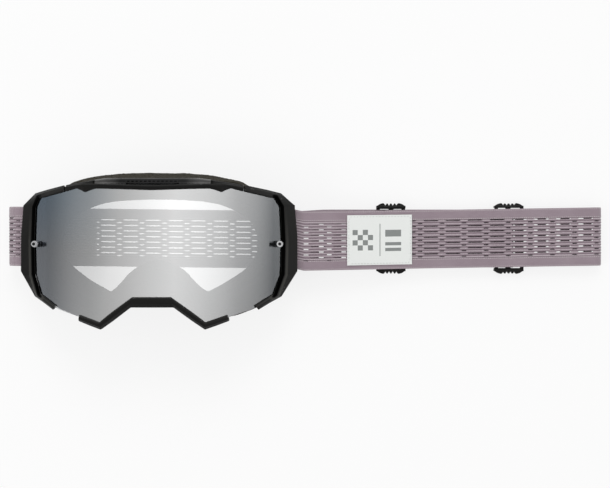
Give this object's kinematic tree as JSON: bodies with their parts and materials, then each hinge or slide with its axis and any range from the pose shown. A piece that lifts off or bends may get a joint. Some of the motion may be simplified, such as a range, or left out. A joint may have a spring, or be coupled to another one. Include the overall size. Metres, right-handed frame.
{
  "type": "motocross goggles",
  "caption": "Motocross goggles with a silver mirror lens, black outriggers, layered face foam and a slotted elastic strap with sliding adjusters.",
  "frame": {"origin": "on the resting plane, under the middle of the goggles, on the underside of the strap's rear layer", "axes": "+X along the strap towards its right-hand fold, +Y up the face towards the brow, +Z from the table towards the lens"},
  "size_m": [0.4102, 0.1023, 0.0694],
  "materials": {
    "soft_frame": "matt moulded soft frame",
    "mirror_lens": "silver mirror coating on clear polycarbonate",
    "gasket_foam": "thin closed-cell foam",
    "hard_black": "satin moulded plastic",
    "gloss_black": "glossy moulded plastic",
    "post_metal": "polished",
    "vent_foam": "open-cell foam",
    "face_foam": "open-cell foam",
    "dense_foam": "dense foam",
    "fleece": "brushed fleece",
    "webbing": "woven elastic with slots",
    "label_cloth": "woven label",
    "adjuster_plastic": "moulded plastic"
  },
  "bodies": {
    "goggles": {"inner_frame": "soft_frame", "lens": "mirror_lens", "lens_gasket": "gasket_foam", "top_bar": "hard_black", "recess_grille": "gloss_black", "nose_bar": "hard_black", "outrigger_right": "hard_black", "outrigger_left": "hard_black", "tearoff_post_right": "post_metal", "tearoff_post_left": "post_metal", "brow_vent_foam": "vent_foam", "lower_vent_foams": "vent_foam", "face_foam_base": "face_foam", "face_foam_middle": "dense_foam", "face_foam_fleece": "fleece", "strap_left_bend": "webbing", "strap_left_band": "webbing", "strap_right_front": "webbing", "strap_right_run": "webbing", "slider_b": "adjuster_plastic", "label_front": "label_cloth", "label_rear": "label_cloth"},
    "strap_slide": {"strap_right_fold": "webbing", "strap_right_band": "webbing", "slider_a": "adjuster_plastic"}
  },
  "joints": [
    {"name": "strap_adjust", "type": "slide", "parent": "goggles", "child": "strap_slide", "axis": [1, 0, 0], "range_m": [-0.035, 0.046], "deforming": ["strap_right_run"]}
  ]
}
